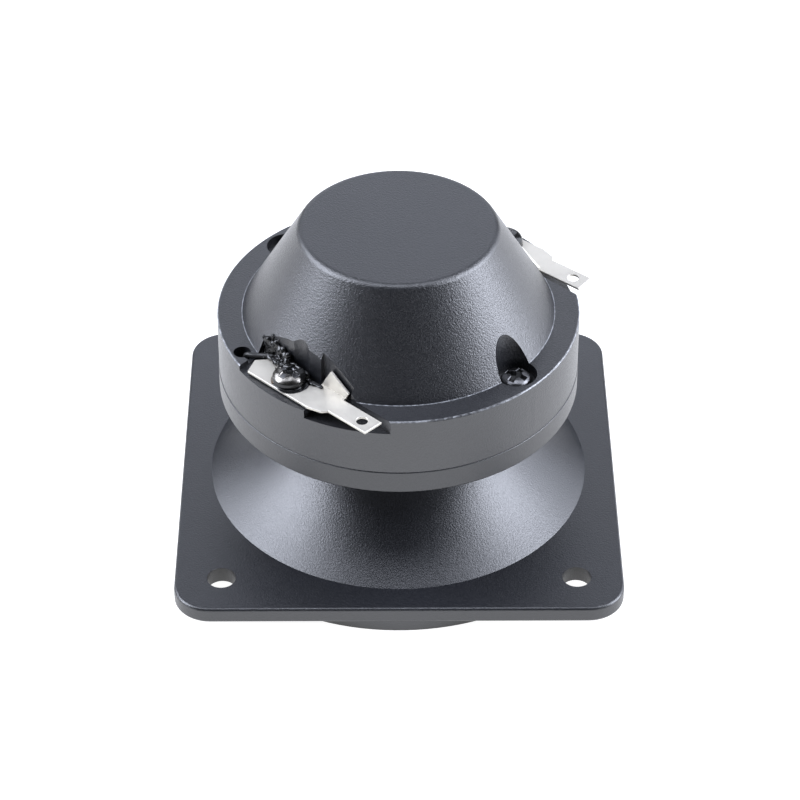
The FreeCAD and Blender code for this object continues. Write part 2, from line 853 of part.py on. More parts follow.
def rounded_path(points):
    """Straight runs joined by tangent arcs, each arc as large as its two runs allow."""
    points = [FreeCAD.Vector(*p) for p in points]
    edges = []
    start = points[0]
    for before, corner, after in zip(points, points[1:], points[2:]):
        back, ahead = before - corner, after - corner
        reach = BEND_SHARE * min(back.Length, ahead.Length)
        turn = pi - back.getAngle(ahead)
        radius = reach / tan(turn / 2)
        back.normalize()
        ahead.normalize()
        into, out = corner + back * reach, corner + ahead * reach
        middle_way = back + ahead
        middle_way.normalize()
        gap = sqrt(radius**2 + reach**2) - radius
        edges.append(Part.LineSegment(start, into).toShape())
        edges.append(Part.Arc(into, corner + middle_way * gap, out).toShape())
        start = out
    edges.append(Part.LineSegment(start, points[-1]).toShape())
    return Part.Wire(edges)


def make_lead():
    """The thin insulated wire from the disc's rim, out through the ledge, to under the screw head."""
    hole_x = -dim.lead_hole_along.number
    radius = dim.lead_radius.number
    near_disc = dim.solder_circle.number
    solder_x = near_disc * cos(LEAD_ANGLE * pi / 180)
    solder_y = near_disc * sin(LEAD_ANGLE * pi / 180)
    solder_top = (dim.brass_bottom + dim.brass_gauge + dim.solder_height).number
    plate_top = (dim.pocket_floor + dim.terminal_seat + dim.terminal_gauge).number
    on_plate = plate_top + radius + dim.lead_clearance.number
    points = [
        (solder_x, solder_y, solder_top),
        (solder_x, solder_y, solder_top + dim.lead_rise.number),
        (-7.2, 16.8, 56.0),
        (-9.4, 18.7, 50.0),
        (-10.8, 19.5, 43.5),
        (-11.7, 19.5, 38.7),
        (hole_x, 23.8, 37.6),
        (hole_x, 29.1, 37.7),
        (hole_x, 29.3, 43.4),
        (-10.4, 29.9, 44.3),
        (-8.2, 30.1, on_plate),
        (-3.1, dim.screw_circle.number, on_plate),
    ]
    path = rounded_path(points)
    ahead = FreeCAD.Vector(*points[1]) - FreeCAD.Vector(*points[0])
    ring = Part.Wire(Part.Circle(FreeCAD.Vector(*points[0]), ahead, radius).toShape())
    tube = path.makePipeShell([ring], True, False)
    ratio = tube.Volume / (pi * radius**2 * path.Length)
    if abs(ratio - 1) > TUBE_MISS:
        raise RuntimeError(f"the lead's tube is {ratio:.3f} of its section times its length")
    lead = doc.addObject("Part::Feature", "lead_right")
    lead.Label = "lead_right"
    lead.Shape = tube
    place(lead, turn=dim.clocking)
    return lead


def make_sealant(label, side, cover, terminal, screw):
    """The blob of sealant in the corner between the cover, the plate and the screw head."""
    blob = doc.addObject("Part::Ellipsoid", f"{label}_blob")
    bind(blob, "Radius1", dim.sealant_half_height)
    bind(blob, "Radius2", dim.sealant_half_length)
    bind(blob, "Radius3", dim.sealant_half_width)
    along, out = dim.sealant_along, dim.sealant_out * side
    place(blob, turn=dim.clocking, height=dim.sealant_height)
    cosine, sine = "cos(Sizes.clocking * 1 deg)", "sin(Sizes.clocking * 1 deg)"
    blob.setExpression("Placement.Base.x", f"-{along.text} * {cosine} - {out.text} * {sine}")
    blob.setExpression("Placement.Base.y", f"{out.text} * {cosine} - {along.text} * {sine}")
    remaining = blob
    for tool, name in ((cover, "off_cover"), (terminal, "off_plate"), (screw, "off_screw")):
        cut = doc.addObject("Part::Cut", f"{label}_{name}")
        cut.Base = remaining
        cut.Tool = tool
        remaining = cut
    remaining.Label = label


def make_all():
    """Build every part."""
    make_horn()
    cover = make_rear_cover()
    make_phase_plug()
    make_cone_stack()
    make_piezo_driver()

    front, rear = dim.clocking, dim.clocking + 2 * RIGHT_ANGLE
    for name, angle, turn in (("front", front, dim.front_screw_turn), ("rear", rear, dim.rear_screw_turn)):
        label, turn = f"cover_screw_{name}", dim.clocking + turn
        make_screw(label, dim.cover_screw_length, dim.recess_floor, angle, turn)

    lead = make_lead()
    mirrored(lead, "lead_left")
    sides = (
        ("right", 1, dim.right_terminal_turn, dim.right_screw_turn),
        ("left", -1, dim.left_terminal_turn, dim.left_screw_turn),
    )
    for name, side, terminal_turn, screw_turn in sides:
        terminal = make_terminal(f"terminal_{name}", side, terminal_turn)
        screw = make_screw(
            f"terminal_screw_{name}",
            dim.terminal_screw_length,
            dim.pocket_floor + dim.terminal_seat + dim.terminal_gauge,
            dim.clocking + side * RIGHT_ANGLE,
            dim.clocking + screw_turn,
        )
        doc.recompute()
        make_sealant(f"sealant_{name}", side, cover, terminal, screw)
    doc.recompute()


PARTS = (
    "horn", "rear_cover", "phase_plug", "front_gasket", "cone_surround", "surround_ring",
    "rear_gasket", "cone", "piezo_brass", "piezo_ceramic_front", "piezo_ceramic_rear",
    "cone_hub", "solder_dots", "damping_pad", "terminal_left", "terminal_right",
    "cover_screw_front", "cover_screw_rear", "terminal_screw_left", "terminal_screw_right",
    "lead_left", "lead_right", "sealant_left", "sealant_right",
)


def check_and_write():
    """Refuse any failed object or bad shape, then write one STEP file per part."""
    for obj in doc.Objects:
        if "Invalid" in obj.State or "Error" in obj.State:
            raise RuntimeError(f"{obj.Label} failed: {obj.State}")
    parts = {obj.Label: obj for obj in doc.Objects if obj.Label in PARTS}
    missing = set(PARTS) - set(parts)
    if missing:
        raise RuntimeError(f"parts not made: {sorted(missing)}")
    for label, obj in parts.items():
        if obj.Shape.isNull() or not obj.Shape.isValid() or not obj.Shape.Solids:
            raise RuntimeError(f"{label} has no valid solid")
    os.makedirs("parts", exist_ok=True)
    for label, obj in parts.items():
        obj.Shape.exportStep(f"parts/{label}.step")
        print(label, len(obj.Shape.Solids), round(obj.Shape.Volume, 2))


make_all()
check_and_write()
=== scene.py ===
"""Looks of the horn tweeter: materials, lights and the fine pieces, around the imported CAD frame."""

import json
from math import atan2, cos, hypot, pi, radians, sin, tan

import bmesh
import bpy
from mathutils import Matrix, Vector, noise


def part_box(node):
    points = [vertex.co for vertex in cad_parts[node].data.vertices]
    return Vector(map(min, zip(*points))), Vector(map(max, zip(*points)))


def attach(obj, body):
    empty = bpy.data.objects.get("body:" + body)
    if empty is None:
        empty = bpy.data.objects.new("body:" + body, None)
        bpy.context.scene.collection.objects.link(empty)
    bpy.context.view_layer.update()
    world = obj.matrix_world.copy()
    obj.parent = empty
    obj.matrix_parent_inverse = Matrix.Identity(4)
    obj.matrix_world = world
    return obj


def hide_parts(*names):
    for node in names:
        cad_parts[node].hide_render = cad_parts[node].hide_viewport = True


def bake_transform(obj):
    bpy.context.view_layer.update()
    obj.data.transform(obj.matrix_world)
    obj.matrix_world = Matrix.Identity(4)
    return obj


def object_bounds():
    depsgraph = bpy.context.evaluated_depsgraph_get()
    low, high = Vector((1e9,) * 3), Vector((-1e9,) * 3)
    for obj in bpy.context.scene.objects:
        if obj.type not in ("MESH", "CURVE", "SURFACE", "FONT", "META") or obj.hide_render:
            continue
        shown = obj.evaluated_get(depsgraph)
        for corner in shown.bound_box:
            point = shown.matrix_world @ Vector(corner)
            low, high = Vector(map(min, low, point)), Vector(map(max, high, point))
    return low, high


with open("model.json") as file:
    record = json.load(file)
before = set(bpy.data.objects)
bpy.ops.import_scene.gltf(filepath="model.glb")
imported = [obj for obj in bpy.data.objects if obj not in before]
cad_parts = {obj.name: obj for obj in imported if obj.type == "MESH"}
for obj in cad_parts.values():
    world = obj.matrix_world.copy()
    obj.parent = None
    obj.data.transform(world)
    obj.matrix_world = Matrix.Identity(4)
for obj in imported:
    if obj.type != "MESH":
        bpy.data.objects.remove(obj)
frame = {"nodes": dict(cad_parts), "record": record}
CAD_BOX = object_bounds()
MM = 0.001
HOUSING = "housing"


# ---------------------------------------------------------------- materials


def new_material(name):
    """An empty node material with its Principled shader."""
    material = bpy.data.materials.new(name)
    material.use_nodes = True
    nodes, links = material.node_tree.nodes, material.node_tree.links
    return material, nodes, links, nodes["Principled BSDF"]


def object_noise(nodes, links, scale, detail=2.0, roughness=0.5, kind="ShaderNodeTexNoise"):
    """A noise texture in object coordinates. scale is in features per metre."""
    place = nodes.new("ShaderNodeTexCoord")
    texture = nodes.new(kind)
    texture.inputs["Scale"].default_value = scale
    if kind == "ShaderNodeTexNoise":
        texture.inputs["Detail"].default_value = detail
        texture.inputs["Roughness"].default_value = roughness
    links.new(place.outputs["Object"], texture.inputs["Vector"])
    return texture


def grey(value):
    return (value, value, value)


def spread(colour, amount):
    """A darker and a lighter shade of a colour."""
    return [tuple(min(1.0, c * (1 + amount * sign)) for c in colour) for sign in (-1, 1)]


RAMP_SPAN = (0.35, 0.65)


def ramp(nodes, links, source, low, high):
    """Map a texture's factor to two colours or greys."""
    made = nodes.new("ShaderNodeValToRGB")
    for element, place, value in zip(made.color_ramp.elements, RAMP_SPAN, (low, high)):
        element.position = place
        element.color = (*value, 1.0)
    links.new(source, made.inputs["Fac"])
    return made.outputs["Color"]


def combine(nodes, links, kind, operation, *sources, output):
    """A math node on sockets and plain values, and its output socket."""
    made = nodes.new(kind)
    made.operation = operation
    for socket, source in zip(made.inputs, sources):
        if isinstance(source, bpy.types.NodeSocket):
            links.new(source, socket)
        else:
            socket.default_value = source
    return made.outputs[output]


def relief(nodes, links, shader, layers):
    """Stack bump layers, given as (height socket, depth in mm), on the shader's normal."""
    below = None
    for height, depth in layers:
        made = nodes.new("ShaderNodeBump")
        made.inputs["Distance"].default_value = depth * MM
        links.new(height, made.inputs["Height"])
        if below is not None:
            links.new(below, made.inputs["Normal"])
        below = made.outputs["Normal"]
    links.new(below, shader.inputs["Normal"])


# Ring edges of the rear cover that get a painted highlight, a lighter line for the light that the
# edge catches, as (radius, height, reach) in millimetres, the colour of the painted highlight, and
# how much of it the faintest and the brightest spots get.
HIGHLIGHT_RINGS = [(34.4, 44.0, 0.32), (29.65, 44.0, 0.13)]
HIGHLIGHT_COLOUR = (0.3, 0.31, 0.33)
HIGHLIGHT_SHARES = grey(0.25), grey(1.0)


def ring_distance(nodes, links, radius, height):
    """How far a point is from a ring about the horn's axis, as a socket, in metres."""
    place = nodes.new("ShaderNodeTexCoord").outputs["Object"]
    apart = nodes.new("ShaderNodeSeparateXYZ")
    links.new(place, apart.inputs["Vector"])
    vector, scalar = "ShaderNodeVectorMath", "ShaderNodeMath"
    flat = combine(nodes, links, vector, "MULTIPLY", place, (1, 1, 0), output="Vector")
    out = combine(nodes, links, vector, "LENGTH", flat, output="Value")
    offset = nodes.new("ShaderNodeCombineXYZ")
    beside = combine(nodes, links, scalar, "SUBTRACT", out, radius * MM, output="Value")
    above = combine(nodes, links, scalar, "SUBTRACT", apart.outputs["Z"], height * MM, output="Value")
    links.new(beside, offset.inputs["X"])
    links.new(above, offset.inputs["Y"])
    return combine(nodes, links, vector, "LENGTH", offset.outputs["Vector"], output="Value")


def painted_edge_highlight(nodes, links, base):
    """Paint a highlight: lighten a base colour in an uneven line along the ring edges."""
    highlight_breaks = object_noise(nodes, links, 1400.0, 2.0)
    uneven = ramp(nodes, links, highlight_breaks.outputs["Fac"], *HIGHLIGHT_SHARES)
    for radius, height, reach in HIGHLIGHT_RINGS:
        near = nodes.new("ShaderNodeMapRange")
        near.inputs["From Min"].default_value = reach * MM
        near.inputs["From Max"].default_value = reach * MM / 2
        links.new(ring_distance(nodes, links, radius, height), near.inputs["Value"])
        sources = near.outputs["Result"], uneven
        highlighted = combine(nodes, links, "ShaderNodeMath", "MULTIPLY", *sources, output="Value")
        mix = nodes.new("ShaderNodeMix")
        mix.data_type = "RGBA"
        links.new(highlighted, mix.inputs["Factor"])
        links.new(base, mix.inputs["A"])
        mix.inputs["B"].default_value = (*HIGHLIGHT_COLOUR, 1)
        base = mix.outputs["Result"]
    return base


GLOSS_SHIFT = 0.06
PEBBLE_SHARE = 0.35


def moulded_plastic(name, colour, rough, depth, shine=1.0):
    """Spark-textured moulded plastic: leathery pebble grain with small shifts of shade and gloss."""
    material, nodes, links, shader = new_material(name)
    patches = object_noise(nodes, links, 45.0, 4.0, 0.6)
    tint = ramp(nodes, links, patches.outputs["Fac"], *spread(colour, 0.1))
    # The ring edges get a painted highlight, a lighter line over the tint.
    links.new(painted_edge_highlight(nodes, links, tint), shader.inputs["Base Color"])
    grain = object_noise(nodes, links, 3400.0, 3.0, 0.6)
    pebbles = object_noise(nodes, links, 2600.0, kind="ShaderNodeTexVoronoi")
    shades = grey(rough - GLOSS_SHIFT), grey(rough + GLOSS_SHIFT)
    gloss = ramp(nodes, links, grain.outputs["Fac"], *shades)
    shader.inputs["Specular IOR Level"].default_value = shine
    links.new(gloss, shader.inputs["Roughness"])
    layers = [(grain.outputs["Fac"], depth), (pebbles.outputs["Distance"], depth * PEBBLE_SHARE)]
    relief(nodes, links, shader, layers)
    return material


def metal(name, colour, rough, depth, metallic=1.0, marks=0.1):
    """Metal with a faintly uneven surface and soft handling marks."""
    material, nodes, links, shader = new_material(name)
    shader.inputs["Metallic"].default_value = metallic
    blotches = object_noise(nodes, links, 260.0, 3.0, 0.5)
    tint = ramp(nodes, links, blotches.outputs["Fac"], *spread(colour, marks))
    links.new(tint, shader.inputs["Base Color"])
    fine = object_noise(nodes, links, 900.0, 2.0)
    gloss = ramp(nodes, links, fine.outputs["Fac"], grey(rough * 0.85), grey(rough * 1.15))
    links.new(gloss, shader.inputs["Roughness"])
    relief(nodes, links, shader, [(fine.outputs["Fac"], depth)])
    return material


def soft_solid(name, colour, rough, grain, depth):
    """Paper, foam, cloth, board, ceramic, resin or sealant: a grain of its own scale and depth."""
    material, nodes, links, shader = new_material(name)
    fine = object_noise(nodes, links, grain, 4.0, 0.6)
    tint = ramp(nodes, links, fine.outputs["Fac"], *spread(colour, 0.2))
    links.new(tint, shader.inputs["Base Color"])
    shader.inputs["Roughness"].default_value = rough
    relief(nodes, links, shader, [(fine.outputs["Fac"], depth)])
    return material


ABS_COLOUR = (0.007, 0.0076, 0.0098)
ABS_ROUGH = 0.35
MATERIALS = {
    "black_abs": moulded_plastic("black_abs", ABS_COLOUR, ABS_ROUGH, 0.068),
    "black_abs_inner": moulded_plastic("black_abs_inner", (0.009, 0.0095, 0.011), 0.32, 0.02),
    "foam_gasket": soft_solid("foam_gasket", grey(0.03), 0.9, 4000.0, 0.15),
    "treated_cloth": soft_solid("treated_cloth", grey(0.03), 0.8, 3000.0, 0.06),
    "ring_board": soft_solid("ring_board", (0.36, 0.27, 0.17), 0.85, 1500.0, 0.04),
    "cone_paper": soft_solid("cone_paper", (0.075, 0.072, 0.068), 0.85, 1800.0, 0.06),
    "hub_resin": soft_solid("hub_resin", (0.42, 0.31, 0.12), 0.25, 800.0, 0.02),
    "disc_brass": metal("disc_brass", (0.75, 0.55, 0.25), 0.3, 0.004),
    "disc_ceramic": soft_solid("disc_ceramic", (0.62, 0.6, 0.56), 0.45, 2600.0, 0.01),
    "solder": metal("solder", (0.72, 0.72, 0.74), 0.25, 0.02),
    "foam_pad": soft_solid("foam_pad", grey(0.14), 0.95, 2500.0, 0.3),
    "tinned_plate": metal("tinned_plate", (0.55, 0.525, 0.47), 0.45, 0.006, metallic=0.5, marks=0.06),
    "black_screw": metal("black_screw", (0.13, 0.13, 0.135), 0.34, 0.004, marks=0.3),
    "lead_wire": soft_solid("lead_wire", grey(0.012), 0.45, 1500.0, 0.02),
    "black_sealant": soft_solid("black_sealant", grey(0.008), 0.16, 500.0, 0.008),
}
TINNED_STRAND = metal("tinned_strand", (0.22, 0.17, 0.13), 0.4, 0.004, marks=0.35)
LACQUERED_HEAD = metal("lacquered_head", (0.19, 0.18, 0.165), 0.27, 0.002, marks=0.3)
# A painted shade: a near-black matt skin for the shadow inside the screws' cross recesses.
RECESS_SHADE = soft_solid("painted_recess_shade", grey(0.004), 0.6, 900.0, 0.004)
# The horn's moulding has a shallower grain than the rear cover's.
OWN_SKIN = {"horn": moulded_plastic("black_abs_finer", ABS_COLOUR, ABS_ROUGH, 0.04, shine=0.88)}

for part in frame["record"]["subparts"]:
    mesh = frame["nodes"][part["node"]].data
    mesh.materials.clear()
    mesh.materials.append(OWN_SKIN.get(part["node"], MATERIALS[part["material_slot"]]))


# ---------------------------------------------------------------- places from the frame


def middle(node):
    """The centre of a node's box, in millimetres."""
    low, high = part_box(node)
    return (Vector(low) + Vector(high)) / 2 / MM


def size(node):
    """The size of a node's box, in millimetres."""
    low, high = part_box(node)
    return (Vector(high) - Vector(low)) / MM


def top_of(node):
    """The height of a node's top, in millimetres."""
    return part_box(node)[1][2] / MM


def radial_frame(node):
    """Axes at a node's centre line: x along the tails, y outwards, z up, in millimetres.

    The left side comes out left-handed, so one set of coordinates gives both mirrored sides.
    """
    centre = middle(node)
    outwards = Vector((centre.x, centre.y, 0)).normalized()
    along = Vector((-outwards.y, outwards.x, 0))
    if along.x < 0:
        along = -along
    return Matrix((
        (along.x, outwards.x, 0, centre.x),
        (along.y, outwards.y, 0, centre.y),
        (0, 0, 1, 0),
        (0, 0, 0, 1),
    ))


def add_piece(built, node, slot, *materials):
    """Turn a bmesh in millimetres into a piece on the housing that stands for a CAD node."""
    mesh = bpy.data.meshes.new(f"{node}_fine")
    bmesh.ops.recalc_face_normals(built, faces=built.faces)
    built.to_mesh(mesh)
    built.free()
    mesh.transform(Matrix.Scale(MM, 4))
    for polygon in mesh.polygons:
        polygon.use_smooth = True
    for material in materials:
        mesh.materials.append(material)
    piece = bpy.data.objects.new(f"{node}_fine", mesh)
    bpy.context.scene.collection.objects.link(piece)
    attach(piece, HOUSING)
    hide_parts(node)


# ---------------------------------------------------------------- screws

HEAD_HEIGHT = 2.1
HEAD_RIM = 0.75
# The head's edge, as (how far in from its radius, height above the seat).
HEAD_EDGE = [(0.0, 0.25), (0.12, 0.06), (0.3, 0.0)]
THREAD_RADIUS = 1.5
THREAD_PITCH = 1.1
THREAD_DEPTH = 0.28
# One thread, as (share of the thread's depth, how far down).
THREAD_PROFILE = [(0, 0.0), (0, 0.4), (1, 0.55), (0, 0.7)]
PLAIN_NECK = 1.0
UNTHREADED = 3.0
POINT_LENGTH = 1.6
POINT_RADIUS = 0.15
CROSS_HALF_LENGTH = 2.05
CROSS_HALF_WIDTH = 0.5
CROSS_DEPTH = 1.4
CROSS_TAPER = 0.5
CROSS_BLUR = 0.16
# Faces cut deeper than this take a painted shade, a near-black matt skin for the shadow in the
# recess.
SHADED_BELOW = 0.5
AROUND = 144
HEAD_STEPS = 56
CROWN_POWER = 2.7
FIRST_RING = 0.002
RING_CROWDING = 0.8


def smooth_step(value):
    value = max(0.0, min(1.0, value))
    return value * value * (3 - 2 * value)


def cross_cut(x, y, depth, blur):
    """How far a cross recess is cut at a place on a screw head."""
    along, beside = max(abs(x), abs(y)), min(abs(x), abs(y))
    outside = max(beside - CROSS_HALF_WIDTH, along - CROSS_HALF_LENGTH)
    outside = min(outside, hypot(x, y) - CROSS_HALF_WIDTH * 2)
    floor = depth * (1 - CROSS_TAPER * along / CROSS_HALF_LENGTH)
    return floor * smooth_step(0.5 - outside / blur)


def head_top(r, radius, rim, height):
    """The height of a pan head's crowned top at a distance from its middle."""
    return rim + (height - rim) * max(0.0, 1 - (r / radius) ** CROWN_POWER) ** 0.5


def top_radii(radius, steps):
    """Ring radii from near the middle of a head to its rim, a little closer together outside."""
    shares = [(i / steps) ** RING_CROWDING for i in range(steps + 1)]
    return [radius * (FIRST_RING + (1 - FIRST_RING) * share) for share in shares]


def edge_rings(radius, profile):
    """Rings of an edge whose profile is given as (how far in from the radius, height)."""
    return [(radius - inwards, height) for inwards, height in profile]


def spin_rings(built, rings):
    """Join rings of (radius, height) or (radius, height function) into a closed skin."""
    made = []
    for radius, height in rings:
        ring = []
        for i in range(AROUND):
            angle = 2 * pi * i / AROUND
            x, y = radius * cos(angle), radius * sin(angle)
            ring.append(built.verts.new((x, y, height(x, y) if callable(height) else height)))
        made.append(ring)
    for inner, outer in zip(made, made[1:]):
        for i in range(AROUND):
            j = (i + 1) % AROUND
            built.faces.new((inner[i], inner[j], outer[j], outer[i]))
    built.faces.new(made[0])
    built.faces.new(made[-1])


def make_screw(node, turn):
    """A pan head with a tapered cross recess, painted dark for its shade, over a threaded shank."""
    box_size = size(node)
    radius, length = box_size.x / 2, box_size.z - HEAD_HEIGHT
    built = bmesh.new()

    def top(x, y):
        r = hypot(x, y)
        return head_top(r, radius, HEAD_RIM, HEAD_HEIGHT) - cross_cut(x, y, CROSS_DEPTH, CROSS_BLUR)

    rings = [(r, top) for r in top_radii(radius, HEAD_STEPS)] + edge_rings(radius, HEAD_EDGE)
    rings.append((THREAD_RADIUS, 0.0))
    core = THREAD_RADIUS - THREAD_DEPTH
    for i in range(int((length - UNTHREADED) / THREAD_PITCH)):
        at = -PLAIN_NECK - i * THREAD_PITCH
        rings += [(core + share * THREAD_DEPTH, at - drop) for share, drop in THREAD_PROFILE]
    rings += [(core, POINT_LENGTH - length), (POINT_RADIUS, -length)]
    spin_rings(built, rings)
    for face in built.faces:
        x, y, z = face.calc_center_median()
        if z > 0 and cross_cut(x, y, CROSS_DEPTH, CROSS_BLUR) > SHADED_BELOW:
            face.material_index = 1
    centre = middle(node)
    seat = top_of(node) - HEAD_HEIGHT
    built.transform(Matrix.Translation((centre.x, centre.y, seat)) @ Matrix.Rotation(turn, 4, "Z"))
    add_piece(built, node, "black_screw", MATERIALS["black_screw"], RECESS_SHADE)


SCREW_TURNS = {
    "cover_screw_front": radians(-32),
    "cover_screw_rear": radians(-28),
    "terminal_screw_left": radians(2),
    "terminal_screw_right": radians(22),
}
for screw, turn in SCREW_TURNS.items():
    make_screw(screw, turn)


# ---------------------------------------------------------------- leads

# The sleeve's route from the disc, out of the ledge's hole and into the sealant, and where the bare
# strands leave the sealant. Along the tails, outwards from the horn's axis, and up.
SLEEVE_ROUTE = [
    (-7.2, 16.8, 56.0),
    (-9.4, 18.7, 50.0),
    (-10.8, 19.5, 43.5),
    (-11.7, 19.5, 38.7),
    (-12.1, 23.8, 37.6),
    (-12.1, 29.1, 37.7),
    (-12.1, 29.3, 42.2),
    (-11.6, 29.2, 43.5),
    (-10.4, 29.0, 43.6),
    (-9.3, 28.3, 43.7),
    (-8.0, 27.6, 44.1),
    (-6.8, 27.1, 44.2),
]
STRAND_ROUTE = [
    (-8.0, 27.4, 44.1),
    (-6.8, 27.2, 44.2),
    (-5.4, 27.3, 44.1),
]
SOLDER_JOINT = (-5.4, 13.3, 0)
RISE_FROM_DISC = 1.6
SLEEVE_RADIUS = 0.5
STRAND_RADIUS = 0.065
STRANDS = 7
STRAND_WOBBLE = 0.1
# The strands fan out a little, and neighbours lie in layers, so that they don't run in each other.
FAN_START = 0.45
FAN_GROWTH = 0.05
FAN_LAYER = 0.05
# Then each hooks round the screw at a reach of its own, in steps of so many degrees.
HOOK_STEPS = 7
HOOK_START = 218
HOOK_STEP = 17
HOOK_SPREAD = 16
HOOK_REACH = 2.8
HOOK_STAGGER = 0.2
HOOK_LOWEST = 0.08
HOOK_LAYER = 0.07


def side_matrix(side):
    """One side's axes, with their origin on the horn's axis, in millimetres."""
    axes = radial_frame(f"terminal_screw_{side}")
    axes.translation = (0, 0, 0)
    return axes


def middle_out(side):
    """How far the terminal's screw is from the horn's axis."""
    centre = middle(f"terminal_screw_{side}")
    return hypot(centre.x, centre.y)


def add_spline(curve, points, radius, material_index):
    spline = curve.splines.new("NURBS")
    spline.points.add(len(points) - 1)
    for point, place in zip(spline.points, points):
        point.co = (*(Vector(place) * MM), 1)
        point.radius = radius
    spline.order_u = 3
    spline.use_endpoint_u = True
    spline.resolution_u = 6
    spline.material_index = material_index


def curve_to_mesh(curve):
    """The mesh of a bevelled curve."""
    holder = bpy.data.objects.new(curve.name, curve)
    bpy.context.scene.collection.objects.link(holder)
    drawn = holder.evaluated_get(bpy.context.evaluated_depsgraph_get())
    mesh = bpy.data.meshes.new_from_object(drawn)
    bpy.data.objects.remove(holder)
    return mesh


def make_lead(side):
    """An insulated sleeve from the moving disc, and strands that fan over the plate to the screw."""
    name = f"lead_{side}"
    curve = bpy.data.curves.new(f"{name}_fine", "CURVE")
    curve.dimensions = "3D"
    curve.bevel_depth = MM
    curve.bevel_resolution = 4
    curve.use_fill_caps = True
    curve.materials.append(MATERIALS["lead_wire"])
    curve.materials.append(TINNED_STRAND)
    axes = side_matrix(side)
    start = axes @ Vector(SOLDER_JOINT)
    start.z = top_of("solder_dots")
    rise = [start, start + Vector((0, 0, RISE_FROM_DISC))]
    add_spline(curve, rise + [axes @ Vector(p) for p in SLEEVE_ROUTE], SLEEVE_RADIUS, 0)
    screw = Vector((0, middle_out(side), 0))
    plate = top_of(f"terminal_screw_{side}") - HEAD_HEIGHT
    for i in range(STRANDS):
        lean = (i - (STRANDS - 1) / 2) / STRANDS
        points = []
        for n, place in enumerate(STRAND_ROUTE):
            wobble = noise.noise_vector(Vector((i * 3.1, n * 1.7, 0.4))) * STRAND_WOBBLE
            fan = Vector((0, lean * (FAN_START + FAN_GROWTH * n), FAN_LAYER * (i % 2)))
            points.append(Vector(place) + fan + wobble)
        reach = HOOK_REACH + HOOK_STAGGER * (i % 4)
        height = plate + HOOK_LOWEST + HOOK_LAYER * (i % 3)
        for step in range(HOOK_STEPS):
            angle = radians(HOOK_START - step * HOOK_STEP + lean * HOOK_SPREAD)
            points.append(screw + Vector((reach * cos(angle), reach * sin(angle), height)))
        add_spline(curve, [axes @ p for p in points], STRAND_RADIUS, 1)
    piece = bpy.data.objects.new(f"{name}_fine", curve_to_mesh(curve))
    bpy.context.scene.collection.objects.link(piece)
    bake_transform(piece)
    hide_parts(name)


# ---------------------------------------------------------------- sealant

# Lumps of sealant as (along, out, up, half length, half width, half height), from the screw.
LUMPS = [
    (-8.0, -3.0, 0.6, 0.9, 0.7, 0.9),
    (-8.6, -3.2, 2.1, 0.9, 0.65, 1.6),
    (-7.3, -3.1, 1.8, 1.0, 0.7, 1.7),
    (-6.4, -3.2, 2.4, 0.9, 0.65, 1.7),
    (-5.4, -3.0, 1.6, 1.0, 0.75, 1.7),
    (-4.6, -3.2, 2.3, 0.9, 0.65, 1.4),
    (-3.6, -2.9, 1.5, 1.0, 0.7, 1.4),
    (-3.0, -2.9, 2.2, 0.7, 0.7, 1.0),
    (-1.2, -2.6, 1.0, 1.2, 0.6, 1.0),
    (1.2, -2.6, 0.6, 1.6, 0.6, 0.7),
    (3.6, -2.2, 0.2, 1.5, 0.7, 0.35),
    (5.2, -2.3, 0.2, 1.2, 0.5, 0.3),
    (-2.6, -2.2, 1.2, 0.8, 0.7, 1.1),
    (-6.8, -2.2, 0.4, 1.3, 0.8, 0.5),
    (-5.0, -1.9, 0.5, 1.2, 0.9, 0.6),
    (-3.6, -1.4, 0.6, 0.8, 0.8, 0.7),
    (-9.0, -1.9, 0.2, 0.5, 0.5, 0.4),
]
# Strings of sealant pulled between the wall, the plate and the screw, as ends with a sag.
STRINGS = [
    ((-8.6, -3.3, 3.2), (-7.0, -1.6, 0.3), 0.3, 0.16),
    ((-9.2, -3.3, 2.6), (-7.9, -1.3, 0.2), 0.2, 0.14),
    ((-9.8, -3.2, 2.2), (-8.5, -1.3, 0.2), 0.2, 0.13),
    ((-6.1, -3.2, 3.7), (-2.4, -2.0, 1.9), 0.2, 0.2),
    ((-6.9, -3.2, 3.4), (-2.9, -1.2, 1.6), 0.6, 0.17),
    ((-7.4, -2.6, 1.4), (-3.1, -0.5, 1.2), 0.2, 0.15),
    ((-6.6, -1.7, 0.7), (-2.9, 0.4, 1.0), 0.0, 0.12),
    ((-9.9, -3.3, 3.2), (-8.8, -3.2, 2.2), 0.0, 0.28),
    ((-7.3, -3.4, 4.6), (-7.6, -3.1, 2.8), 0.0, 0.32),
    ((-5.9, -3.4, 4.3), (-6.1, -3.2, 3.0), 0.0, 0.28),
]
BEAD_SPACING = 0.12
STRING_WAIST = 0.35
VOXEL = 0.11
SOFTENING = 7
# Ripples over the sealant, as (bumps per millimetre, depth in millimetres).
RIPPLES = [(0.6, 0.3), (1.2, 0.08)]

# The lacquer's thickness over the head, how far the drop leans along the tails, how far its black
# pool reaches there, partly sealant and partly a painted shadow and reflection of the head on the
# plate, and its skin: 0 is black sealant, 1 is clear lacquer over a bright head, with the black
# sealant's skin on the wall's side of its shore.
LACQUER = {"left": (0.3, 0.0, 1.0, 1), "right": (0.75, 0.75, 0.0, 0)}
DROP_STEPS = 40
DROP_RIM = 0.8
# The drop rises by this share of its thickness, up to the thickest that it can stand.
DROP_RISE = 0.8
DROP_THICKEST = 0.5
DROP_SWELL = 0.05
DROP_CROSS_DEPTH = 0.9
DROP_CROSS_BLUR = 0.45
BLACK_SHORE = 0.1
SHORE_WANDER = 0.9
POOL_RINGS = 6
POOL_FILM = 0.05
POOL_UNDER = -0.03
POOL_WAVE = 0.25
POOL_LEAST = 0.02
PLATE_HEEL = -2.4
